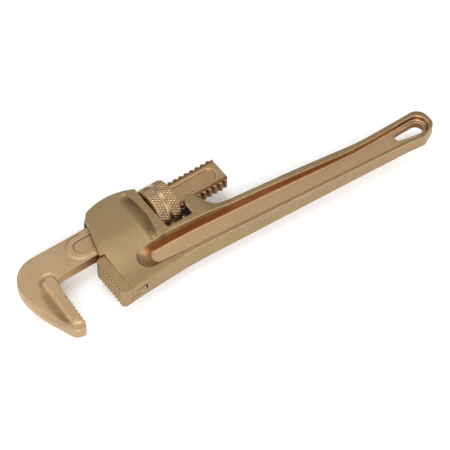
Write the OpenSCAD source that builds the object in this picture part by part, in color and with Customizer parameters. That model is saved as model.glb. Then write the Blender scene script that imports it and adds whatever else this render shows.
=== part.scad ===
// Pipe wrench with a one-piece cast handle and housing, a floating hook jaw on a
// threaded shank, a knurled adjusting nut, a pinned heel jaw and two leaf springs.
// Millimetres. +X runs along the shank to the handle's end, +Y to the wrench's back,
// +Z out of its upper flat face. The origin is on the housing's lower flat face, under
// the shank's centre line, at the middle of the housing.

/* [Head] */
// Thickness of the head and heel jaw
head_t = 17; // [16:0.5:19]
// How far the housing and the land round the nut window stand over each face of the head
land_h = 2.5; // [1:0.5:3]
// Radius of the housing's curved back
back_r = 50; // [48:0.5:54]

/* [Handle] */
// Where the handle's centre of the round end lies along X
end_x = 243.6; // [235:0.5:260]
// Half thickness of the handle at its far end
end_half = 5.4; // [5:0.1:7]
// Thickness of the web between the two recesses
web_t = 4.4; // [3.5:0.1:6]
// Radius of the hang slot's wide end
slot_r1 = 5.3; // [4:0.1:5.5]
// Radius of the hang slot's narrow end
slot_r2 = 3.3; // [2.5:0.1:3.5]

/* [Hook jaw] */
// Thickness of the shank and hook
shank_t = 10; // [8:0.5:10.5]
// Tooth pitch on the hook jaw
hook_tooth = 3.5; // [3:0.1:4]
// Thickness of the raised tooth pad
pad_t = 12; // [11:0.5:13]
// Depth of the long panel in the shank's flat faces
panel_d = 0.7; // [0.3:0.1:1.2]

/* [Thread] */
// Pitch of the shank's round thread
pitch = 5; // [4:0.25:6]
// Crest radius of the shank's thread
crest_r = 13; // [12.5:0.1:13]
// Thread depth
thread_d = 1.75; // [1.2:0.05:1.8]
// Radial clearance between the nut's thread and the shank's
thread_gap = 0.35; // [0.3:0.05:0.6]

/* [Nut] */
// Outside radius of the nut
nut_r = 18; // [17:0.1:18.5]
// Length of the nut
nut_len = 19; // [17:0.5:19]
// Width of the smooth band between the two knurled bands
band_w = 3.8; // [2:0.2:5]

/* [Heel jaw] */
// Tooth pitch on the heel jaw
heel_tooth = 3.43; // [3:0.01:4]
// Thickness of the heel jaw's tongue
tongue_t = 5.3; // [4:0.1:6]
// Radius of the heel jaw pin
pin_r = 3; // [2:0.1:3.5]

/* [Springs] */
// Width of the leaf springs, along Z
leaf_w = 9; // [6:0.5:9]
// Thickness of the leaf springs
leaf_t = 0.7; // [0.5:0.1:0.8]

/* [Hidden] */
$fn = 64;
mid = head_t / 2 + land_h;
head_z = mid - head_t / 2;
win_x0 = 28.9;
win_x1 = 51.3;
win_y = -26.1;
nut_x = win_x0 + 0.3;
chan_z = shank_t + 0.7;
seam_x = -23;
hook_end = -2;
tail_x = 94.6;
floor_y = -16.2;

// A slab of a plan shape, centred on the middle plane.
module slab(t) { translate([0, 0, mid - t / 2]) linear_extrude(t) children(); }

// Tangent-sided slot between two round ends.
module slot2d(a, ra, b, rb) {
  d = norm(b - a);
  u = (b - a) / d;
  k = (ra - rb) / d;
  s = sqrt(1 - k * k);
  n1 = [u[0] * k - u[1] * s, u[1] * k + u[0] * s];
  n2 = [u[0] * k + u[1] * s, u[1] * k - u[0] * s];
  translate(a) circle(ra);
  translate(b) circle(rb);
  polygon([a + ra * n1, b + rb * n1, b + rb * n2, a + ra * n2]);
}

// ---- handle and housing ----
module head2d() {
  intersection() {
    translate([5.2, 23.4 - back_r]) circle(back_r, $fn = 128);
    polygon([[seam_x, -52], [seam_x, -19.3], [-26.4, -19], [-17.1, 14.8], [-13.3, 20.2], [-12, 30],
             [win_x0, 30], [win_x0, -52]]);
  }
}

// The housing's raised faces fall to the head's level in front of the shank.
module housing_raise() {
  intersection() {
    slab(head_t + 2 * land_h) head2d();
    translate([-40, 0, head_z]) rotate([90, 0, 90]) linear_extrude(60)
      polygon([[-33, 0], [-10, -land_h], [40, -land_h], [40, head_t + land_h],
               [-10, head_t + land_h], [-33, head_t]]);
  }
}

module grip2d() {
  polygon([[seam_x, -56.3], [-10, -55.5], [10, -54.6], [30, -53.9], [50, -54.4], [80, -56],
           [130, -58.6], [180, -61.3], [end_x - 16, -64.1], [end_x - 5, -64.7], [end_x - 2.1, -63.9],
           [end_x + 5.1, -60.2], [end_x, -50.6], [end_x, -39.7], [226, -40.3], [206, -40.5],
           [190, -40], [180, -39.1], [160, -36.6], [140, -34.4], [110, -31.7], [76, -28.8],
           [60, -24], [win_x1, win_y], [win_x0, win_y], [20, -20], [seam_x, -20]]);
  translate([end_x, -50.6]) circle(10.9, $fn = 96);
  translate([end_x - 5, -58.2]) circle(6.5, $fn = 96);
}

module hump2d() {
  translate([57.3, -14.6]) circle(5);
  difference() {
    polygon([[win_x1, -30], [win_x1, -13.9], [52.4, -13.5], [57.3, -14.6], [62.3, -14.6],
             [64.1, -16], [76, -16], [76, -30]]);
    translate([76, -17]) circle(12.1, $fn = 96);
  }
}

module recess2d() {
  translate([3.2, -39.2]) circle(9.2);
  translate([end_x - 1.6, -52.8]) circle(8.7);
  polygon([[3.2, -30], [29, -29.5], [49, -31.2], [90, -34.2], [130, -38.1], [171, -43],
           [190, -44.2], [211, -44.4], [end_x - 1.6, -44.1], [end_x - 1.6, -61.5], [211, -60.2],
           [181, -58.5], [130, -55.6], [105, -54.1], [70, -52.2], [30, -49.9], [3.2, -48.4]]);
}

module handle_body() {
  recess_top = mid + web_t / 2;
  color([0.62, 0.52, 0.36]) difference() {
    union() {
      intersection() {
        slab(head_t) { head2d(); grip2d(); hump2d(); }
        translate([0, 60, 0]) rotate([90, 0, 0]) linear_extrude(140)
          polygon([[-60, head_z], [45, head_z], [270, mid - end_half + 0.35],
                   [270, mid + end_half - 0.35], [45, head_z + head_t], [-60, head_z + head_t]]);
      }
      housing_raise();
      // raised land round the nut window and hump, falling to the handle's faces
      difference() {
        slab(head_t + 2 * land_h) {
          translate([19, -30]) square([win_x1 - 9, 30 + win_y]);
          intersection() { head2d(); translate([19, -30]) square([20, 60]); }
          hump2d();
        }
        for (s = [-1, 1]) translate([79, 40, mid + s * (mid + 60)]) rotate([90, 0, 0])
          cylinder(h = 80, r = 60, $fn = 128);
      }
    }
    // recesses on both faces
    for (z = [recess_top, mid - web_t / 2 - 30]) translate([0, 0, z]) linear_extrude(30) recess2d();
    // nut window, open at the back
    slab(60) {
      polygon([[win_x0, win_y + 2], [win_x0, 60], [win_x1, 60], [win_x1, win_y + 2]]);
      translate([win_x0 + 2, win_y]) square([win_x1 - win_x0 - 4, 4]);
      for (x = [win_x0 + 2, win_x1 - 2]) translate([x, win_y + 2]) circle(2);
    }
    // shank channel through the housing, and the saddle in the hump
    slab(chan_z) {
      polygon([[-40, -15.2], [-40, 17.9], [win_x0 + 1, 15.2], [win_x0 + 1, -13.9],
               [-22, -13.9], [-25, -15.2]]);
      polygon([[win_x1 - 1, floor_y], [win_x1 - 1, 5], [90, 5], [90, floor_y]]);
    }
    // slot and blind hole that hold the heel jaw
    slab(tongue_t + 0.1) translate([seam_x - 5, -70]) square([18.8, 70 - 19.4]);
    translate([-16, -38, -1]) cylinder(h = mid + tongue_t / 2 + 4, r = pin_r + 0.02);
    // hang slot through the web
    slab(60) slot2d([end_x - 3.5, -53.7], slot_r1, [end_x - 18.4, -52.2], slot_r2);
    // spring rivet holes
    translate([21, 30, mid]) rotate([90, 0, 0]) cylinder(h = 20, r = 1.52);
    translate([60, floor_y + 1, mid]) rotate([90, 0, 0]) cylinder(h = 5.5, r = 1.22);
  }
}

// ---- hook jaw ----
function thread_r(a, x, gap) = crest_r - thread_d / 2 + gap + thread_d / 2 * cos(a - 360 * x / pitch);
// y of the thread's surface at height z over the axis, on the back (1) or front (-1) side
function edge_a(z, s, r) = s > 0 ? asin(z / r) : 180 - asin(z / r);
function edge_r(x, z, s) =
  let (r1 = thread_r(edge_a(z, s, crest_r - thread_d / 2), x, 0)) thread_r(edge_a(z, s, r1), x, 0);
function edge_y(x, z, s) = s * sqrt(pow(edge_r(x, z, s), 2) - z * z);

module threaded_bar(x0, x1) {
  n = round((x1 - x0) / pitch * 12);
  m = 4;
  zs = [for (j = [0:m]) -shank_t / 2 + shank_t * j / m];
  ring = 2 * (m + 1);
  pts = [for (i = [0:n]) let (x = x0 + (x1 - x0) * i / n) each concat(
    [for (j = [0:m]) [x, edge_y(x, zs[j], -1), zs[j]]],
    [for (j = [m:-1:0]) [x, edge_y(x, zs[j], 1), zs[j]]])];
  sides = [for (i = [0:n - 1], k = [0:ring - 1]) let (a = i * ring + k, b = i * ring + (k + 1) % ring)
    each [[a, b, a + ring], [b, b + ring, a + ring]]];
  e = n * ring;
  caps = [for (k = [0:m - 1]) let (q = ring - 1 - k)
    each [[k, q, k + 1], [k + 1, q, q - 1],
          [e + k, e + k + 1, e + q], [e + k + 1, e + q - 1, e + q]]];
  translate([0, 0, mid]) polyhedron(pts, concat(sides, caps));
}

module hook2d() {
  polygon([[hook_end, 12.3], [-67, 12.3], [-73.3, 11.4], [-79, 8.6], [-83.3, 4.8], [-86.8, -0.2],
           [-88.8, -6.2], [-89.5, -14], [-89.3, -21], [-88.2, -29], [-86, -37.5], [-82.2, -47.5],
           [-76.6, -59.2], [-74.6, -61.4], [-71.5, -62.8], [-68.4, -63.2], [-66.6, -62.4],
           [-65.4, -58.8], [-64.9, -55.8], [-63.2, -22.5], [-62.2, -18], [-58.8, -14.8],
           [-54, -13.5], [hook_end, -13.5]]);
}

module pad2d() {
  translate([-67.2, -13.6]) circle(4.9);
  polygon([[-72.1, -13.6], [-62.3, -13.6], [-62.2, -18], [-63.2, -22.5], [-64.9, -55.8],
           [-65.2, -57.6], [-70, -57.1], [-73.6, -55]]);
}

module hook_web2d() {
  translate([-76.6, -14.4]) circle(3.6);
  translate([-77.4, -48.6]) circle(2.4);
  polygon([[-80.2, -14.4], [-73, -14.4], [-75, -48.6], [-79.7, -48.2], [-81.6, -38], [-82, -25]]);
}

module hook_jaw() {
  teeth = floor(33 / hook_tooth);
  tooth_ang = atan2(1.7, 33.3);
  color([0.66, 0.55, 0.40]) difference() {
    union() {
      difference() {
        slab(shank_t) hook2d();
        for (z = [mid + shank_t / 2 - 1.4, mid - shank_t / 2 - 8.6])
          translate([0, 0, z]) linear_extrude(10) hook_web2d();
      }
      slab(pad_t) pad2d();
      threaded_bar(hook_end - 1, tail_x);
    }
    for (k = [0:teeth - 1]) let (y = -24.3 - k * hook_tooth)
      translate([-63.3 + (y + 24.3) * tan(tooth_ang), y, -10]) rotate(-tooth_ang)
        linear_extrude(40) polygon([[1, -hook_tooth * 0.62], [1, hook_tooth * 0.45], [-1.35, 0]]);
    for (z = [mid + shank_t / 2 - panel_d, mid - shank_t / 2 - 9.3 + panel_d - 0.7])
      translate([0, 0, z]) linear_extrude(10) {
        slot2d([-31, -0.2], 6, [83.5, -0.2], 6);
      }
    // front corner of the tail end is broken
    slab(30) polygon([[tail_x + 1, -8.5], [tail_x - 6, -15.5], [tail_x + 1, -15.5]]);
  }
}

// ---- nut ----
module thread_cutter() {
  n = 40;
  steps = round((nut_len + 2) / pitch * 12);
  pts = [for (i = [0:steps]) let (x = nut_x - 1 + (nut_len + 2) * i / steps)
    for (k = [0:n - 1]) let (a = -360 * k / n, r = thread_r(a, x, thread_gap))
      [x, r * cos(a), r * sin(a)]];
  sides = [for (i = [0:steps - 1], k = [0:n - 1]) let (a = i * n + k, b = i * n + (k + 1) % n)
    each [[a, b, a + n], [b, b + n, a + n]]];
  caps = [[for (k = [n - 1:-1:0]) k], [for (k = [0:n - 1]) steps * n + k]];
  translate([0, 0, mid]) polyhedron(pts, concat(sides, caps));
}

module adjusting_nut() {
  c = nut_x + nut_len / 2;
  color([0.70, 0.58, 0.42]) difference() {
    translate([nut_x, 0, mid]) rotate([90, 0, 90]) rotate_extrude($fn = 96)
      polygon([[0, 0], [nut_r - 1.8, 0], [nut_r, 1.4], [nut_r, (nut_len - band_w) / 2],
               [nut_r - 0.4, (nut_len - band_w) / 2 + 0.4], [nut_r - 0.4, (nut_len + band_w) / 2 - 0.4],
               [nut_r, (nut_len + band_w) / 2], [nut_r, nut_len - 1.4], [nut_r - 1.8, nut_len],
               [0, nut_len]]);
    thread_cutter();
  }
}

// ---- heel jaw ----
module heel_jaw() {
  face_x = -31.7;
  teeth = floor(30.5 / heel_tooth);
  color([0.60, 0.50, 0.35]) difference() {
    union() {
      slab(head_t) polygon([[seam_x - 0.12, -56.35], [-29.2, -56.75], [face_x, -54.3], [face_x, -23.2],
                            [-30.2, -20.4], [-28.2, -19.3], [seam_x - 0.12, -19.4]]);
      slab(tongue_t) translate([seam_x - 2, -56.1]) square([14.5, 36.5]);
    }
    for (k = [0:teeth - 1])
      translate([face_x, -25 - k * heel_tooth, head_z - 1]) linear_extrude(head_t + 2)
        polygon([[-1, -heel_tooth * 0.52], [-1, heel_tooth * 0.62], [1.5, 0]]);
    translate([-16, -38, -1]) cylinder(h = 40, r = pin_r + 0.02);
  }
}

module heel_jaw_pin() {
  color([0.72, 0.62, 0.44]) translate([-16, -38, head_z])
    cylinder(h = head_t / 2 + tongue_t / 2 + 2.8, r = pin_r);
}

// ---- springs ----
// Bowed strip: an arc of the given sagitta (positive bows towards +Y) between two points.
module bow2d(a, b, sag) {
  n = 12;
  function p(t) = a + (b - a) * t + [0, sag * 4 * t * (1 - t)];
  polygon(concat([for (i = [0:n]) p(i / n)], [for (i = [n:-1:0]) p(i / n) + [0, leaf_t]]));
}

module back_leaf_spring() {
  color([0.70, 0.71, 0.72]) difference() {
    slab(leaf_w) {
      bow2d([-17.6, 15.4], [24.6, 14.55], -1.6);
      polygon([[-17.6, 15.4], [-17.2, 16.1], [-17.65, 16.3], [-14.6, 20.6], [-15.2, 21],
               [-18.5, 16.3], [-18.3, 15.7]]);
    }
    translate([21, 30, mid]) rotate([90, 0, 0]) cylinder(h = 30, r = 1.52);
  }
}

module back_spring_rivet() {
  color([0.66, 0.66, 0.66]) translate([21, 20.6, mid]) rotate([90, 0, 0]) cylinder(h = 6.3, r = 1.5);
}

module front_leaf_spring() {
  color([0.70, 0.71, 0.72]) difference() {
    slab(leaf_w) {
      polygon([[55.5, floor_y + 0.02], [63.2, floor_y + 0.02], [63.2, floor_y + leaf_t + 0.02],
               [55.5, floor_y + leaf_t + 0.02], [50.6, -14.3], [49.1, -14.5], [49.1, -14.5 - leaf_t],
               [50.7, -14.3 - leaf_t]]);
    }
    translate([60, 0, mid]) rotate([90, 0, 0]) cylinder(h = 30, r = 1.22);
  }
}

module front_spring_rivet() {
  color([0.66, 0.66, 0.66]) translate([60, floor_y + leaf_t + 0.02, mid]) rotate([90, 0, 0])
    cylinder(h = 5, r = 1.2);
}

handle_body();
hook_jaw();
adjusting_nut();
heel_jaw();
heel_jaw_pin();
back_leaf_spring();
back_spring_rivet();
front_leaf_spring();
front_spring_rivet();
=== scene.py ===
"""Looks of the bronze pipe wrench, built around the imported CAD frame.

The castings and the heel jaw are distance fields in millimetres, written from a few
outlines, and turned into quad meshes with their exact normals. The nut, the springs and the
stage are built directly. The pin and the rivets are the CAD's own. All places are in the CAD
frame; the nut's end, the camera and the floor are worked out from its boxes, and the rest are
numbers that repeat the CAD's.
"""
import functools
import math

import bpy
import numpy as np
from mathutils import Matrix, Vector


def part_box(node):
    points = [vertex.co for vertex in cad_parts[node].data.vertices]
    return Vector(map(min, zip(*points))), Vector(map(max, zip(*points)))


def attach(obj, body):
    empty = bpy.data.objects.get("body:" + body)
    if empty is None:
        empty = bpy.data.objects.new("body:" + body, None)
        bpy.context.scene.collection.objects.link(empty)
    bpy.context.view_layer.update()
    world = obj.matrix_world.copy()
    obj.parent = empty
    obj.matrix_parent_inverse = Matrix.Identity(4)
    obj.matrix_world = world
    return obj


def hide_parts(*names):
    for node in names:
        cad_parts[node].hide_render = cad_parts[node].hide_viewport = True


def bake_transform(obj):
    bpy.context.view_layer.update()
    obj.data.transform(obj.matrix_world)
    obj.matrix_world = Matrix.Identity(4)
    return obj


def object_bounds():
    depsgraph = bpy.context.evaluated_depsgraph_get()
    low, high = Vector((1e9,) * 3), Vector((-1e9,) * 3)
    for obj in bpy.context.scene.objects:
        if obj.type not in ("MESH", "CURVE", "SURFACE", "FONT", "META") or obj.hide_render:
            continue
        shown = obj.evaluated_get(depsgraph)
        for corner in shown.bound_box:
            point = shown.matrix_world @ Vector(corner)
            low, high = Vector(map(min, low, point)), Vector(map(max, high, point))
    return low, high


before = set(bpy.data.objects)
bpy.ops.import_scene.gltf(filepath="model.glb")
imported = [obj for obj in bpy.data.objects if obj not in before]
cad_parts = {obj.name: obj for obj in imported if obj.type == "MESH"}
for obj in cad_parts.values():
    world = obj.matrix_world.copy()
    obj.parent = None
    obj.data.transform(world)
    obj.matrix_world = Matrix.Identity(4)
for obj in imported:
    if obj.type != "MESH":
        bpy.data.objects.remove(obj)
cad_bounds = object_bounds()

MM = 0.001
HEAD_HALF = 8.5           # half the thickness of the head and the heel jaw
LAND = 2.5                # how far the housing's faces stand over the head's
MID = HEAD_HALF + LAND    # height of the wrench's middle plane
WEB_HALF = 2.2            # half the web between the handle's recesses
SHANK_HALF = 5.0          # half the thickness of the shank
CHANNEL_HALF = 5.35       # half the width of the channel and the saddle that the shank runs in
TAPER = 0.01533           # how much the handle's half thickness falls for each millimetre
TAPER_START = 45          # X where the handle starts to thin
SEAM = -23                # X where the heel jaw meets the head
HEEL_FACE = -31.7         # X of the heel jaw's tooth tips
HEEL_TOP = -19.4          # Y where the heel jaw ends, towards the shank
PIN_PLACE = -16, -38      # X and Y of the heel jaw's pin
PIN_HOLE = 3.02           # radius of its hole
PITCH = 5.0               # of the shank's round thread
THREAD_MEAN = 12.125      # mean radius of the thread
THREAD_WAVE = 0.875       # half the thread's depth
THREAD_GAP = 0.35         # from the nut's bore to a cosine thread; the hook's fuller one has less
NUT_RADIUS = 18.0
NUT_LENGTH = 19.0
COARSE = 1.0


# ---------------------------------------------------------------- camera, lights, floor
def aim(thing, target):
    thing.rotation_euler = (Vector(target) - thing.location).to_track_quat("-Z", "Y").to_euler()


def add_camera():
    """A long lens on the wrench's upper face, from over its front left."""
    azimuth, elevation, distance = math.radians(35.45), math.radians(52.9), 1.62434
    low, high = cad_bounds
    centre = (Vector(low) + Vector(high)) / 2
    target = Vector((centre.x - 0.01745, centre.y - 0.0272, (MID + HEAD_HALF) * MM))
    data = bpy.data.cameras.new("camera")
    data.lens, data.sensor_width = 176.0, 36.0
    data.clip_start, data.clip_end = 0.05, 20
    camera = bpy.data.objects.new("camera", data)
    level = math.cos(elevation)
    away = Vector((-math.sin(azimuth) * level, -math.cos(azimuth) * level, math.sin(elevation)))
    camera.location = target + away * distance
    aim(camera, target)
    bpy.context.scene.collection.objects.link(camera)
    bpy.context.scene.camera = camera


def add_light(name, place, size, power, target=(0.08, -0.02, 0)):
    data = bpy.data.lights.new(name, "AREA")
    data.shape, data.size, data.energy = "DISK", size, power
    light = bpy.data.objects.new(name, data)
    light.location = place
    aim(light, target)
    bpy.context.scene.collection.objects.link(light)


def add_stage():
    """A pale floor that glows a little, a white surround and four soft lights."""
    world = bpy.data.worlds.new("studio")
    world.use_nodes = True
    surround = world.node_tree.nodes["Background"]
    surround.inputs["Color"].default_value = (1.0, 1.0, 1.0, 1)
    surround.inputs["Strength"].default_value = 0.46
    bpy.context.scene.world = world
    add_light("key_light", (-0.9, -1.3, 1.1), 1.0, 26)
    add_light("top_light", (0.1, 0.3, 2.2), 1.4, 18)
    add_light("fill_light", (1.2, -1.1, 0.8), 1.0, 8)
    add_light("side_light", (-1.4, 0.9, 0.6), 1.2, 9)
    low, high = cad_bounds
    half = 3.0
    corners = [(-half, -half), (half, -half), (half, half), (-half, half)]
    mesh = bpy.data.meshes.new("floor")
    mesh.from_pydata([(x, y, low[2] - 0.0002) for x, y in corners], [], [(0, 1, 2, 3)])
    floor = bpy.data.objects.new("floor", mesh)
    bpy.context.scene.collection.objects.link(floor)
    paint = bpy.data.materials.new("pale_floor")
    paint.use_nodes = True
    shader = paint.node_tree.nodes["Principled BSDF"]
    shader.inputs["Base Color"].default_value = (0.93, 0.93, 0.93, 1)
    shader.inputs["Emission Color"].default_value = (1, 1, 1, 1)
    shader.inputs["Emission Strength"].default_value = 0.16
    shader.inputs["Roughness"].default_value = 0.9
    mesh.materials.append(paint)


# ---------------------------------------------------------------- materials
def linear(red, green, blue):
    """A screen colour, 0 to 255, as the linear colour that a shader takes."""
    return tuple(((c / 255 + 0.055) / 1.055) ** 2.4 for c in (red, green, blue))


def ramp_node(nodes, low, high, dark, light):
    node = nodes.new("ShaderNodeValToRGB")
    node.color_ramp.elements[0].position = low
    node.color_ramp.elements[1].position = high
    node.color_ramp.elements[0].color = (*dark, 1)
    node.color_ramp.elements[1].color = (*light, 1)
    return node


def noise_node(tree, where, scale, detail, stretch=None):
    """Noise over the piece's own coordinates; stretch squeezes it along each axis."""
    node = tree.nodes.new("ShaderNodeTexNoise")
    node.inputs["Scale"].default_value = scale
    node.inputs["Detail"].default_value = detail
    if stretch is None:
        tree.links.new(where, node.inputs["Vector"])
    else:
        mapping = tree.nodes.new("ShaderNodeMapping")
        mapping.inputs["Scale"].default_value = stretch
        tree.links.new(where, mapping.inputs["Vector"])
        tree.links.new(mapping.outputs["Vector"], node.inputs["Vector"])
    return node


def metal(name, tone, roughness=(0.36, 0.5), mottle=0.07, grain=0.05, stretch=None, wear=0.12,
          has_light_and_tone=False):
    """Satin metal: mottled tone, cast or brushed grain, and a paler polish along the edges.
    If asked, it is multiplied by the colour that the piece's mesh holds at each point, which
    carries painted shade and painted highlights."""
    paint = bpy.data.materials.new(name)
    paint.use_nodes = True
    tree = paint.node_tree
    nodes, links = tree.nodes, tree.links
    shader = nodes["Principled BSDF"]
    shader.inputs["Metallic"].default_value = 1.0
    where = nodes.new("ShaderNodeTexCoord").outputs["Object"]

    cloud = noise_node(tree, where, 45, 5)
    patches = ramp_node(nodes, 0.3, 0.72, [c * (1 - mottle) for c in tone],
                        [min(1, c * (1 + mottle)) for c in tone])
    links.new(cloud.outputs["Fac"], patches.inputs["Fac"])

    speck = noise_node(tree, where, 900, 3, stretch)
    fine = ramp_node(nodes, 0.25, 0.75, (0.9, 0.88, 0.86), (1.06, 1.06, 1.06))
    links.new(speck.outputs["Fac"], fine.inputs["Fac"])
    tint = nodes.new("ShaderNodeMix")
    tint.data_type, tint.blend_type = "RGBA", "MULTIPLY"
    tint.inputs["Factor"].default_value = 0.8
    links.new(patches.outputs["Color"], tint.inputs["A"])
    links.new(fine.outputs["Color"], tint.inputs["B"])

    edge = ramp_node(nodes, 0.5, 0.6, (0, 0, 0), (1, 1, 1))
    links.new(nodes.new("ShaderNodeNewGeometry").outputs["Pointiness"], edge.inputs["Fac"])
    amount = nodes.new("ShaderNodeMath")
    amount.operation = "MULTIPLY"
    amount.inputs[1].default_value = wear
    links.new(edge.outputs["Color"], amount.inputs[0])
    polish = nodes.new("ShaderNodeMix")
    polish.data_type = "RGBA"
    polish.inputs["B"].default_value = (*[min(1, c * 1.7 + 0.05) for c in tone], 1)
    links.new(amount.outputs["Value"], polish.inputs["Factor"])
    links.new(tint.outputs["Result"], polish.inputs["A"])
    # multiply by the mesh's point colour, which carries painted shade and painted highlights
    if has_light_and_tone:
        light_and_tone = nodes.new("ShaderNodeVertexColor")
        light_and_tone.layer_name = "light_and_tone"
        multiply_light_and_tone = nodes.new("ShaderNodeMix")
        multiply_light_and_tone.data_type, multiply_light_and_tone.blend_type = "RGBA", "MULTIPLY"
        multiply_light_and_tone.inputs["Factor"].default_value = 1.0
        links.new(polish.outputs["Result"], multiply_light_and_tone.inputs["A"])
        links.new(light_and_tone.outputs["Color"], multiply_light_and_tone.inputs["B"])
        links.new(multiply_light_and_tone.outputs["Result"], shader.inputs["Base Color"])
    else:
        links.new(polish.outputs["Result"], shader.inputs["Base Color"])

    rub = nodes.new("ShaderNodeMapRange")
    rub.inputs["To Min"].default_value = roughness[0]
    rub.inputs["To Max"].default_value = roughness[1]
    links.new(noise_node(tree, where, 160, 4, stretch).outputs["Fac"], rub.inputs["Value"])
    links.new(rub.outputs["Result"], shader.inputs["Roughness"])

    bump = nodes.new("ShaderNodeBump")
    bump.inputs["Strength"].default_value = grain
    bump.inputs["Distance"].default_value = 0.001
    links.new(noise_node(tree, where, 1400, 4, stretch).outputs["Fac"], bump.inputs["Height"])
    links.new(bump.outputs["Normal"], shader.inputs["Normal"])
    return paint


# ---------------------------------------------------------------- outlines
def curve(*points, per=6):
    """Points on a smooth curve through the given ones (Catmull-Rom)."""
    p = np.array([points[0], *points, points[-1]], float)
    made = []
    for a, b, c, d in zip(p, p[1:], p[2:], p[3:]):
        for t in np.arange(per) / per:
            made.append(0.5 * (2 * b + (c - a) * t + (2 * a - 5 * b + 4 * c - d) * t ** 2
                               + (3 * b - a - 3 * c + d) * t ** 3))
    return [tuple(q) for q in made] + [tuple(p[-1])]


def arc(centre, radius, start, end, steps=24):
    """Points on a circle between two angles in degrees."""
    angles = np.radians(np.linspace(start, end, steps))
    return [(centre[0] + radius * math.cos(a), centre[1] + radius * math.sin(a)) for a in angles]


def outline(*corners):
    """A closed outline. A corner is (x, y), or (x, y, radius) where it is rounded."""
    points = []
    for i, corner in enumerate(corners):
        here = np.array(corner[:2], float)
        if len(corner) == 2:
            points.append(here)
            continue
        back = np.array(corners[i - 1][:2]) - here
        ahead = np.array(corners[(i + 1) % len(corners)][:2]) - here
        back, ahead = back / np.linalg.norm(back), ahead / np.linalg.norm(ahead)
        half = math.acos(np.clip(back @ ahead, -1, 1)) / 2
        middle = (back + ahead) / np.linalg.norm(back + ahead)
        centre = here + middle * corner[2] / math.sin(half)
        first, last = (here + side * corner[2] / math.tan(half) - centre for side in (back, ahead))
        start = math.atan2(first[1], first[0])
        turn = (math.atan2(last[1], last[0]) - start + math.pi) % (2 * math.pi) - math.pi
        steps = max(2, round(abs(turn) * 6))
        for k in range(steps + 1):
            a = start + turn * k / steps
            points.append(centre + corner[2] * np.array([math.cos(a), math.sin(a)]))
    return np.array(points)


def flat_distance(points, x, y):
    """Signed distance to a closed outline, negative inside it."""
    shape = np.broadcast(x, y).shape
    nearest, inside = np.full(shape, 1e9), np.zeros(shape, bool)
    for (ax, ay), (bx, by) in zip(points, np.roll(points, -1, axis=0)):
        ex, ey = bx - ax, by - ay
        px, py = x - ax, y - ay
        t = np.clip((px * ex + py * ey) / (ex * ex + ey * ey + 1e-12), 0, 1)
        nearest = np.minimum(nearest, (px - t * ex) ** 2 + (py - t * ey) ** 2)
        if ay != by:
            inside ^= ((ay > y) != (by > y)) & (px < ex * py / ey)
    return np.where(inside, -1, 1) * np.sqrt(nearest)


def bar_distance(x, y, start, end, radius_start, radius_end):
    """Signed distance to a round-ended bar between two points."""
    (ax, ay), (bx, by) = start, end
    length = math.hypot(bx - ax, by - ay)
    ux, uy = (bx - ax) / length, (by - ay) / length
    t = np.clip(((x - ax) * ux + (y - ay) * uy) / length, 0, 1)
    gap = np.hypot(x - ax - t * length * ux, y - ay - t * length * uy)
    return gap - radius_start - (radius_end - radius_start) * t


def ramp(value, start, end):
    """0 before start, 1 past end, smooth between."""
    t = np.clip((value - start) / (end - start), 0, 1)
    return t * t * (3 - 2 * t)


def both(a, b, radius):
    """What is inside both fields, with the edge between them rounded."""
    return np.minimum(-radius, np.maximum(a, b)) + np.hypot(np.maximum(a + radius, 0),
                                                           np.maximum(b + radius, 0))


def overlap(*fields):
    """What is inside every field, with sharp edges."""
    return functools.reduce(np.maximum, fields)


def cut(solid, hole, radius):
    return both(solid, -hole, radius)


def join(a, b, radius):
    """What is inside either field, with a fillet between them."""
    return -both(-a, -b, radius)


# ---------------------------------------------------------------- meshes
def add_piece(name, vertices, faces, paint, normals=None, light_and_tone=None):
    """A smooth-shaded mesh object from millimetres. Point colours, if given, are stored on it; they
    carry painted shade and painted highlights.
    """
    mesh = bpy.data.meshes.new(name)
    mesh.from_pydata((np.asarray(vertices) * MM).tolist(), [], np.asarray(faces).tolist())
    mesh.update()
    mesh.shade_smooth()
    if normals is not None:
        mesh.normals_split_custom_set_from_vertices(np.asarray(normals).tolist())
    if light_and_tone is not None:
        layer = mesh.color_attributes.new("light_and_tone", "FLOAT_COLOR", "POINT")
        layer.data.foreach_set("color", np.column_stack([light_and_tone, np.ones(len(light_and_tone))]).ravel())
    mesh.materials.append(paint)
    piece = bpy.data.objects.new(name, mesh)
    bpy.context.scene.collection.objects.link(piece)
    return piece


def slope(field, p):
    """The field's gradient at points, by central differences."""
    h = 0.02
    steps = np.eye(3) * h
    return np.stack([(field(*(p + s).T) - field(*(p - s).T)) / (2 * h) for s in steps], 1)


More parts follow.
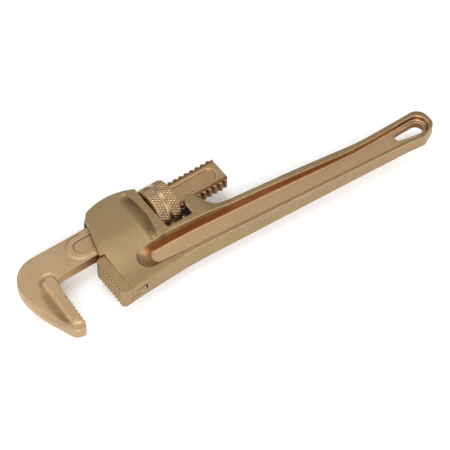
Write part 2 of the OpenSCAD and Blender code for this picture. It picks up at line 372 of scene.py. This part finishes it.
def contour(field, axes):
    """Surface nets: one vertex in each grid cell that the surface crosses, one quad round each
    grid edge that it crosses, and then each vertex is slid onto the surface."""
    grid = np.meshgrid(*axes, indexing="ij", sparse=True)
    values = np.broadcast_to(field(*grid), [len(a) for a in axes])
    shape = np.array(values.shape)
    quads, cells, points = [], [], []
    for axis in range(3):
        near = np.take(values, range(shape[axis] - 1), axis)
        far = np.take(values, range(1, shape[axis]), axis)
        index = np.argwhere((near < 0) != (far < 0))
        a, b = near[tuple(index.T)], far[tuple(index.T)]
        place = np.stack([axes[k][index[:, k]] for k in range(3)], 1)
        step = axes[axis][index[:, axis] + 1] - axes[axis][index[:, axis]]
        place[:, axis] += step * a / (a - b)
        side, other = (axis + 1) % 3, (axis + 2) % 3
        ring = []
        for d, e in ((0, 0), (1, 0), (1, 1), (0, 1)):
            corner = index.copy()
            corner[:, side] -= d
            corner[:, other] -= e
            ring.append(np.ravel_multi_index(corner.T, shape))
            cells.append(ring[-1])
            points.append(place)
        ring = np.stack(ring, 1)
        quads.append(np.where((a < 0)[:, None], ring, ring[:, ::-1]))
    quads, cells, points = np.concatenate(quads), np.concatenate(cells), np.concatenate(points)
    used, at = np.unique(cells, return_inverse=True)
    count = np.bincount(at)
    vertices = np.stack([np.bincount(at, points[:, k]) / count for k in range(3)], 1)
    for _ in range(2):
        gradient = slope(field, vertices)
        size = np.sum(gradient ** 2, 1).clip(0.05)
        move = -gradient * (field(*vertices.T) / size)[:, None]
        vertices += move.clip(-0.5, 0.5)
    normals = slope(field, vertices)
    normals /= np.linalg.norm(normals, axis=1).clip(1e-9)[:, None]
    return vertices, np.searchsorted(used, quads), normals


def spaced(*stops):
    """Grid lines from (start, end, step) stretches that follow on from each other."""
    lines = [np.arange(a, b - 1e-6, s * COARSE) for a, b, s in stops]
    return np.concatenate(lines)


# ---------------------------------------------------------------- handle and housing
HANDLE = outline(
    *curve((SEAM, -56.35), (-10, -55.5), (10, -54.55), (30, -53.85), (50, -54.3), (80, -56),
           (130, -58.6), (180, -61.3), (226, -64)),
    (240.5, -65.8, 6.5), (254.8, -58.8, 7.6), (254.8, -39.7, 9.7),
    *curve((226, -40.3), (206, -40.5), (190, -39.95), (160, -36.6), (135, -33.9), (110, -31.7),
           (80, -29.0), (73, -28.4), (68.9, -26.2), (65.9, -22.4), (64.2, -18.4), (62.9, -13.9),
           (60.4, -10.9), (57.4, -9.9), (55, -10.5), (52.9, -12.2), (51.3, -16.5)),
    (51.3, -26.1, 2.2), (28.9, -26.1, 2.2),
    *arc((5.2, -26.6), 50, 61.8, 110),
    (-13.3, 20.2, 3), (-17.1, 14.8), (-26.4, -19, 0.6), (SEAM, HEEL_TOP))

RECESS_RIM = outline(
    *arc((3.2, -39.2), 9.2, 90, 270, 16),
    *curve((5, -48.4), (30, -49.8), (70, -52.2), (105, -54.1), (130, -55.6), (181, -58.5),
           (211, -60.2), (241, -61.5)),
    *arc((242.3, -52.8), 9.0, -90, 90, 16),
    *curve((241, -43.9), (211, -44.4), (190, -44.2), (171, -43), (130, -38.2), (90, -34.1),
           (49, -31.2), (29, -29.4), (15, -29.5), (3.2, -30)))

RECESS_FLOOR = outline(
    *arc((11.5, -39.2), 5.6, 90, 270, 12),
    *curve((20, -45.4), (30, -46.4), (70, -49.3), (105, -51.7), (130, -53.7), (181, -57.4),
           (211, -59.4), (241, -60.6)),
    *arc((241.6, -52.8), 7.8, -90, 90, 16),
    *curve((241, -45), (211, -45.3), (190, -45.2), (150, -42.2), (108, -38.8), (83, -37),
           (53, -34.6), (33, -33.7), (11.5, -33.6)))


# a bar's two ends in plan, and its radius at each
HANG_SLOT = (240.6, -53.7), (225.2, -52.2), 5.4, 3.3


def housing_raise(x, y):
    """How far the face stands over the head's flat face: the housing's back half, the land
    round the nut window, and a scoop between them that falls towards the nut."""
    lip = 22.6 - 4 * ((y + 2) / 21) ** 2
    scoop = 1.7 * np.clip((x - 12.2) / (lip - 12.2 + 1e-6), 0, 1) ** 1.5
    scoop = scoop * ramp(y, -34, -14) * (1 - ramp(y, 12, 19)) * (lip > 14)
    left = LAND * ramp(y, -46, -6) - scoop
    spread = 0.45 + 2.6 * (1 - ramp(y, -29, -14))
    right = LAND * ramp(y, -47, -34) * (1 - ramp(x, 60, 86))
    side = ramp(x, np.maximum(lip, 17.5) - spread, np.maximum(lip, 17.5) + spread)
    return left * (1 - side) + right * side


def handle_half(x):
    """Half the handle's thickness, before the housing is raised on it."""
    return HEAD_HALF - TAPER * np.maximum(x - TAPER_START, 0)


def pin_hole(x, y):
    """Signed distance to the hole for the heel jaw's pin, in plan."""
    return np.hypot(x - PIN_PLACE[0], y - PIN_PLACE[1]) - PIN_HOLE


def handle_field(x, y, z):
    up = np.abs(z - MID)
    half = handle_half(x) + housing_raise(x, y)
    seam = ramp(-21.2 - x, 0, 1.2) * ramp(-18.6 - y, 0, 0.6)
    solid = both(flat_distance(HANDLE, x, y), up - half, 0.7 - 0.62 * seam)
    # recesses on both faces, with sloping walls and a lip round the hang slot's wide end
    slot = bar_distance(x, y, *HANG_SLOT)
    web = WEB_HALF + 0.8 * (1 - ramp(slot, 1.2, 2.6)) * ramp(x, 231, 240)
    down = np.clip((half - up) / (half - web), 0, 1.3)
    wall = (1 - down) * flat_distance(RECESS_RIM, x, y) + down * flat_distance(RECESS_FLOOR, x, y)
    solid = cut(solid, both(wall, web - up, 0.8), 0.4)
    solid = cut(solid, slot, 0.8)
    # shank channel through the housing, saddle in the hump
    back_wall = y - (17.9 - 0.0386 * (x + 40))
    mouth = -13.9 - 1.5 * np.clip((-21.6 - x) / 3, 0, 1)
    channel = overlap(mouth - y, back_wall, up - CHANNEL_HALF, x - 40)
    saddle = overlap(-16.2 - y, up - CHANNEL_HALF, 50 - x)
    solid = cut(solid, channel, 0.4)
    solid = cut(solid, saddle, 0.4)
    # slot and blind hole that hold the heel jaw
    tongue = overlap(x + 9.2, y - HEEL_TOP, up - 2.7)
    hole = np.maximum(pin_hole(x, y), z - MID - 5.65)
    return cut(np.maximum(solid, -tongue), hole, 0.3)


def layered_colours(count, *layers):
    """A colour for each of count points: white, covered by each (mask, colour) layer in turn."""
    light_and_tone = np.ones((count, 3))
    for mask, colour in layers:
        light_and_tone += mask[:, None] * (np.array(colour) - light_and_tone)
    return light_and_tone


def handle_light_and_tone(vertices, normals):
    """Colours of the handle: paler recess floors, a painted highlight along the rounded edges,
    painted shade with a painted orange reflection on the recess walls, deeper by the hang slot,
    and painted shade in the channel, the nut window, the hang slot and the scoop."""
    x, y, z = vertices.T
    up, level = np.abs(z - MID), np.abs(normals[:, 2])
    steep = ramp(-level, -0.93, -0.6)
    recess = ramp(-flat_distance(RECESS_RIM, x, y), -0.1, 0.5)
    sunk = recess * ramp(handle_half(x) - up, 0.3, 1)
    # painted shade inside the channel, the nut window and the hang slot, and on the scoop by the
    # nut
    window = (x > 27.5) & (x < 52.6) & (y > -27) & (y < -11)
    deep = ramp(-flat_distance(HANDLE, x, y), 0.3, 0.9)
    inner = (x > -22) * (x < 63) * (y > -27) * (up < 8) * np.maximum(window, deep)
    # painted highlight along the rounded outer edges
    edge = ramp(level, 0.2, 0.5) * ramp(-level, -0.985, -0.9) * (1 - sunk) * (x > 24)
    slot = ramp(-bar_distance(x, y, *HANG_SLOT), -0.6, -0.1)
    tilt = np.abs(normals[:, 0])
    scooped = (up > HEAD_HALF) & (x > 12) & (x < 24.5) & (y > -24) & (y < 19)
    scoop = np.where(scooped, ramp(tilt, 0.08, 0.34), 0)
    # painted shade and a painted orange reflection on the recess walls; deeper painted shade on the
    # walls by the hang slot
    walls = sunk * steep
    return layered_colours(len(x),
                   (sunk * (1 - steep), (1.5, 1.46, 1.64)),
                   (edge, (1.5, 1.48, 1.44)),
                   (walls, (1.05, 0.64, 0.43)),
                   (walls * ramp(x, 222, 232), (0.66, 0.44, 0.32)),
                   (inner, (0.62, 0.4, 0.3)),
                   (slot, (0.6, 0.42, 0.34)),
                   (scoop, (0.62, 0.57, 0.48)))


# ---------------------------------------------------------------- hook jaw
HOOK = outline(
    (4, 12.3),
    *curve((-64, 12.3), (-68, 12.2), (-73.3, 11.2), (-79, 8.6), (-83.3, 4.8), (-86.8, -0.2),
           (-88.8, -6.2), (-89.5, -14), (-89.3, -21), (-88.2, -29), (-86, -37.5),
           (-82.2, -47.5), (-76.8, -58.8), (-74.7, -61.3), (-71.5, -62.8), (-68.4, -63.1),
           (-66.6, -61.8), (-65.5, -58.8), (-64.9, -55.8)),
    *curve((-63.2, -22.5), (-62.4, -18.3), (-60.9, -16), (-58, -14.4), (-53, -13.5)),
    (4, -13.5))

PAD = outline(*arc((-67.2, -13.6), 4.9, 0, 180, 14), (-73.6, -54.9, 1), (-70, -57.1), (-65, -57.7),
              (-64.9, -55.8), (-63.2, -22.5), (-62.3, -18))


PANEL = (-31, -0.2), (83.5, -0.2), 5.9, 5.9


def hook_field(x, y, z):
    up = np.abs(z - MID)
    pad_gap = flat_distance(PAD, x, y)
    # faces: a low web round the pad, a plateau where the shank begins
    reach = 3.6 + 5.4 * ramp(-y, 12, 22) * (1 - ramp(x, -75, -66)) * (1 - 0.75 * ramp(-y, 32, 54))
    web = 0.85 * (1 - ramp(pad_gap, 0, reach)) * (1 - ramp(-y, 46, 54)) * (1 - ramp(x, -64, -58))
    plateau = bar_distance(x, y, (-32, -0.3), (40, -0.3), 10.5, 10.5)
    half = SHANK_HALF - 0.4 * ramp(plateau, -0.9, 0.9) * (1 - ramp(x, -28, -24)) - web
    crown = (1 - ramp(x, -80, -66)) * ramp(-y, 5, 30) * (1 - 0.8 * ramp(-y, 48, 58))
    body = both(flat_distance(HOOK, x, y), up - half, 0.8 + 2.2 * crown)
    pad_edge = 0.8 + 1.6 * (1 - ramp(x, -71, -67))
    body = join(body, both(pad_gap, up - 5.9, pad_edge), 1.0)
    # teeth across the jaw face
    lean = math.radians(2.92)
    along = -(y + 24.3) * math.cos(lean) - (x + 63.3) * math.sin(lean)
    out = (x + 63.3) * math.cos(lean) - (y + 24.3) * math.sin(lean)
    tooth = 0.5 + 0.5 * np.cos(2 * np.pi * along / 3.5)
    grooves = overlap((0.1 - out - 1.25 * tooth ** 0.8) * 0.8, -1.8 - along, along - 33)
    body = cut(body, grooves, 0.15)
    # threaded tail: the round thread cut to the shank's thickness
    w = z - MID
    angle = np.arctan2(y, w)
    turn = 0.5 + 0.5 * np.cos(np.pi / 2 - angle - 2 * np.pi * x / PITCH)
    radius = THREAD_MEAN - THREAD_WAVE + 2 * THREAD_WAVE * turn ** 0.8
    thread = (np.hypot(y, w) - radius) * 0.6
    corner = (x - 94.6 - y - 9.3) * 0.707
    tail = overlap(thread, x - 94.6, corner)
    tail = both(tail, up - SHANK_HALF, 0.4)
    shank = np.maximum(body, x + 2.5)
    solid = np.minimum(shank, np.maximum(tail, -3 - x))
    panel = bar_distance(x, y, *PANEL)
    return cut(solid, both(panel, SHANK_HALF - 1.3 - up, 0.5), 0.5)


def hook_light_and_tone(vertices, normals):
    """Colours of the hook jaw: a duller tail, painted shade in the thread roots, on the shank's
    front sides and in the hollow by the pad, and a painted shade line with a painted highlight rim
    round its panel."""
    x, y, z = vertices.T
    level = np.abs(normals[:, 2])
    threaded = ramp(x, -2.6, -1.6) * ramp(np.abs(y), 8, 9)
    # painted shade in the thread roots
    root = threaded * ramp(-np.hypot(y, z - MID), -THREAD_MEAN - 0.5, -THREAD_MEAN + 0.5)
    # painted shade on the shank's front sides, facing the heel jaw and housing
    side = ramp(-level, -0.6, -0.3) * ramp(x, -62, -34) * ramp(-x, -4, 0) * (y < 0)
    top = level * (np.abs(z - MID) > SHANK_HALF - 1.6)
    # painted shade line in the panel's corner and a painted highlight rim at its edge
    gap = bar_distance(x, y, *PANEL)
    line = top * ramp(gap, -0.9, -0.5) * ramp(-gap, -0.1, 0.2)
    rim = top * ramp(gap, -0.1, 0.3) * ramp(-gap, -1.1, -0.6)
    # painted shade in the hollow beside the pad
    gap_to_pad = flat_distance(PAD, x, y)
    hollow = level * ramp(gap_to_pad, -0.6, 0.4) * (1 - ramp(gap_to_pad, 3, 9)) * (x < -66)
    hollow = hollow * ramp(-y, 14, 26) * (1 - ramp(-y, 46, 56))
    return layered_colours(len(x),
                   (ramp(x, -3, -2), (0.86, 0.82, 0.77)),
                   (root, (0.4, 0.28, 0.2)),
                   (side, (0.72, 0.58, 0.46)),
                   (hollow, (0.8, 0.75, 0.68)),
                   (line, (0.74, 0.54, 0.38)),
                   (rim, (1.22, 1.2, 1.16)))


# ---------------------------------------------------------------- heel jaw
HEEL = outline((SEAM, -56.35, 0.3), (-29.2, -56.75, 0.6), (HEEL_FACE, -54.3), (HEEL_FACE, -23.2),
               (-30.2, -20.4, 0.8), (-28.2, HEEL_TOP, 0.8), (SEAM, HEEL_TOP))


def heel_field(x, y, z):
    up = np.abs(z - MID)
    pitch, first, last = 3.43, -23.3, -54.3
    step = (first - y) / pitch
    part = step - np.floor(step)
    rise = np.where(part < 0.42, part / 0.42, (1 - part) / 0.58)
    toothed = ramp(-y, -first - 0.6, -first + 0.4) * (1 - ramp(-y, -last - 0.9, -last))
    groove = 1.9 * (1 - rise) * toothed
    block = both(flat_distance(HEEL, x, y), up - HEAD_HALF, 0.4 - 0.34 * ramp(x, -25, -23.6))
    block = both(block, (HEEL_FACE + groove - x) * 0.7, 0.08)
    tongue = overlap(np.abs(x + 17.8) - 7.2, np.abs(y + 37.85) - 18.25, up - 2.6)
    return np.maximum(np.minimum(block, tongue), -pin_hole(x, y))


def heel_painted_shade(vertices, normals):
    """Painted shade in the roots between the heel jaw's teeth."""
    x, y = vertices[:, 0], vertices[:, 1]
    # painted shade in the tooth roots
    root = ramp(x, -31.2, -29.9) * ramp(-x, 29.0, 29.6)
    root = root * ramp(-np.abs(normals[:, 2]), -0.6, -0.3) * (y > -54.4)
    return layered_colours(len(x), (root, (0.5, 0.37, 0.28)))


# ---------------------------------------------------------------- knurled nut
def saw(t):
    """Triangle wave from 0 to 1 and back, once for each unit."""
    return 1 - 2 * np.abs(t - np.floor(t) - 0.5)


def knurled_nut():
    """The nut as rings of points: along its outside, down one end, back through its bore and up the
    other end, with how much painted shade each point gets: in the knurl's valleys, on the ends and
    through the bore."""
    diamonds, per_diamond, axial = 46, 12, 4.2
    around = diamonds * per_diamond
    theta = 2 * np.pi * np.arange(around) / around
    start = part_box("adjusting_nut")[0].x / MM
    outer = np.linspace(0, NUT_LENGTH, 104)
    rings, painted_shade = [], []
    for x in outer:
        end_gap = min(x, NUT_LENGTH - x)
        shoulder = 1.5 - 1.5 * math.sqrt(max(0, 1 - max(0, 1 - end_gap / 1.5) ** 2))
        band = abs(x - NUT_LENGTH / 2)
        patterned = float(ramp(band, 1.5, 1.75) * ramp(end_gap, 0.2, 0.8))
        turn = theta * diamonds / (2 * np.pi)
        bump = np.minimum(saw(turn + x / axial), saw(turn - x / axial))
        sunk = patterned * (1 - bump ** 0.9)
        radius = NUT_RADIUS - shoulder - 0.65 * sunk - 0.12 * (1 - float(ramp(band, 1.4, 1.6)))
        rings.append((np.full(around, x), radius))
        painted_shade.append(sunk + np.zeros(around))

    def bore(x):
        wave = np.cos(theta - 2 * np.pi * (x + start) / PITCH)
        return THREAD_MEAN + THREAD_GAP + THREAD_WAVE * wave

    for x in np.linspace(NUT_LENGTH, 0, 47):
        rings.append((np.full(around, x), bore(x)))
    first, last = rings[0], rings[len(outer) - 1]
    rings.insert(len(outer), (last[0], (last[1] + bore(NUT_LENGTH)) / 2))
    rings.append((first[0], (first[1] + bore(0)) / 2))
    xs = np.array([r[0] for r in rings]) + start
    radii = np.array([r[1] for r in rings])
    vertices = np.stack([xs, radii * np.cos(theta), MID + radii * np.sin(theta)], -1).reshape(-1, 3)
    rows = len(rings)
    ids = np.arange(rows * around).reshape(rows, around)
    below = np.roll(ids, -1, axis=0)
    corners = [ids, below, np.roll(below, -1, axis=1), np.roll(ids, -1, axis=1)]
    faces = np.stack(corners, -1).reshape(-1, 4)
    # painted shade: partial in the knurl's valleys, full on the end faces and through the bore
    painted_shade = np.concatenate(painted_shade + [np.ones(around)] * (rows - len(painted_shade)))
    light_and_tone = 1 - painted_shade[:, None] * np.array([0.28, 0.38, 0.45])
    return vertices, faces[:, ::-1], light_and_tone


# ---------------------------------------------------------------- springs and bevels
def strip(name, path, thickness, width, paint):
    """A bent strip of spring steel: a path in plan, thickened, and extruded along Z."""
    path = np.array(path, float)
    run = np.gradient(path, axis=0)
    side = np.stack([-run[:, 1], run[:, 0]], 1) / np.linalg.norm(run, axis=1)[:, None]
    loop = np.concatenate([path + side * thickness / 2, (path - side * thickness / 2)[::-1]])
    n = len(loop)
    vertices = [(x, y, MID + s * width / 2) for s in (-1, 1) for x, y in loop]
    half = len(path)
    faces = [(i, (i + 1) % n, n + (i + 1) % n, n + i) for i in range(n)]
    for i in range(half - 1):
        faces.append((i, n - 1 - i, n - 2 - i, i + 1))
        faces.append((n + i, n + i + 1, 2 * n - 2 - i, 2 * n - 1 - i))
    piece = add_piece(name, vertices, faces, paint)
    soften(piece, 0.12)
    return piece


def soften(piece, width):
    """A small bevel on the sharp edges only."""
    bevel = piece.modifiers.new("softened_edges", "BEVEL")
    bevel.width, bevel.segments = width * MM, 2
    bevel.limit_method, bevel.angle_limit = "ANGLE", math.radians(40)


def place(piece, body, node, slot_name):
    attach(piece, body)
    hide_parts(node)


# ---------------------------------------------------------------- the wrench
def casting(name, field, axes, colours, paint):
    """A piece contoured from a field, with the colours that colours() gives its points."""
    vertices, faces, normals = contour(field, axes)
    return add_piece(name, vertices, faces, paint, normals, colours(vertices, normals))


def build_handle():
    paint = metal("cast_bronze", linear(157, 134, 99), mottle=0.05, grain=0.035, has_light_and_tone=True)
    axes = (spaced((-29, 86, 0.66), (86, 214, 1.25), (214, 258, 0.62)),
            spaced((-67, 27, 0.6)), spaced((MID - 12.7, MID + 13.1, 0.6)))
    handle = casting("handle_casting", handle_field, axes, handle_light_and_tone, paint)
    place(handle, "handle", "handle_body", "handle_casting")


def build_hook():
    paint = metal("hook_bronze", linear(181, 154, 120), (0.44, 0.56), mottle=0.06, has_light_and_tone=True)
    axes = spaced((-92, 98, 0.52)), spaced((-66, 15, 0.52)), spaced((MID - 8, MID + 8.3, 0.5))
    hook = casting("hook_casting", hook_field, axes, hook_light_and_tone, paint)
    place(hook, "hook", "hook_jaw", "hook_casting")


def build_heel():
    paint = metal("heel_bronze", linear(157, 134, 99), mottle=0.05, grain=0.03, has_light_and_tone=True)
    axes = (spaced((-33.5, -8.5, 0.33)), spaced((-58.5, -17.5, 0.33)),
            spaced((MID - 9.7, MID + 9.8, 0.4)))
    heel = casting("heel_jaw_block", heel_field, axes, heel_painted_shade, paint)
    place(heel, "handle", "heel_jaw", "heel_alloy")


def build_nut():
    paint = metal("nut_bronze", linear(184, 158, 126), (0.32, 0.42), grain=0.02, has_light_and_tone=True)
    vertices, faces, light_and_tone = knurled_nut()
    nut = add_piece("nut_knurled", vertices, faces, paint, light_and_tone=light_and_tone)
    place(nut, "nut", "adjusting_nut", "nut_alloy")


def build_back_spring(steel):
    """A shallow bow behind the shank, its end bent round the housing's edge."""
    t = np.linspace(0, 1, 15)
    path = [(24.6 - 41.8 * u, 14.9 + 1.1 * u - 0.2 * math.sin(math.pi * u)) for u in t]
    path += [(-17.4, 16.2), (-16.2, 17.3), (-14.6, 19.4)]
    back = strip("back_leaf", path, 0.7, 9, steel)
    place(back, "handle", "back_leaf_spring", "spring_steel")


def build_front_spring(steel):
    """A strip in the hump's saddle, riveted to the handle; here it is baked in place on no body, so
    it does not move with the shank.
    """
    path = curve((49.1, -14.8), (50.7, -14.7), (55.5, -15.84), (58, -15.84), (63.2, -15.84))
    front = strip("front_leaf", path, 0.7, 9, steel)
    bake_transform(front)
    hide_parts("front_leaf_spring")


def paint_cad_pieces(steel):
    """The pin and the rivets are the CAD nodes themselves, painted and bevelled."""
    brass = metal("pin_brass", linear(196, 164, 104), (0.25, 0.35), grain=0.02)
    for node, paint in (("heel_jaw_pin", brass), ("back_spring_rivet", steel),
                        ("front_spring_rivet", steel)):
        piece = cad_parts[node]
        piece.data.materials.clear()
        piece.data.materials.append(paint)
        soften(piece, 0.3)


def build_wrench():
    build_handle()
    build_hook()
    build_heel()
    build_nut()
    steel = metal("spring_steel", linear(128, 126, 126), (0.34, 0.46), 0.05, 0.02, (1, 1, 12))
    build_back_spring(steel)
    build_front_spring(steel)
    paint_cad_pieces(steel)


add_camera()
add_stage()
bpy.context.scene.view_settings.view_transform = "Standard"
build_wrench()
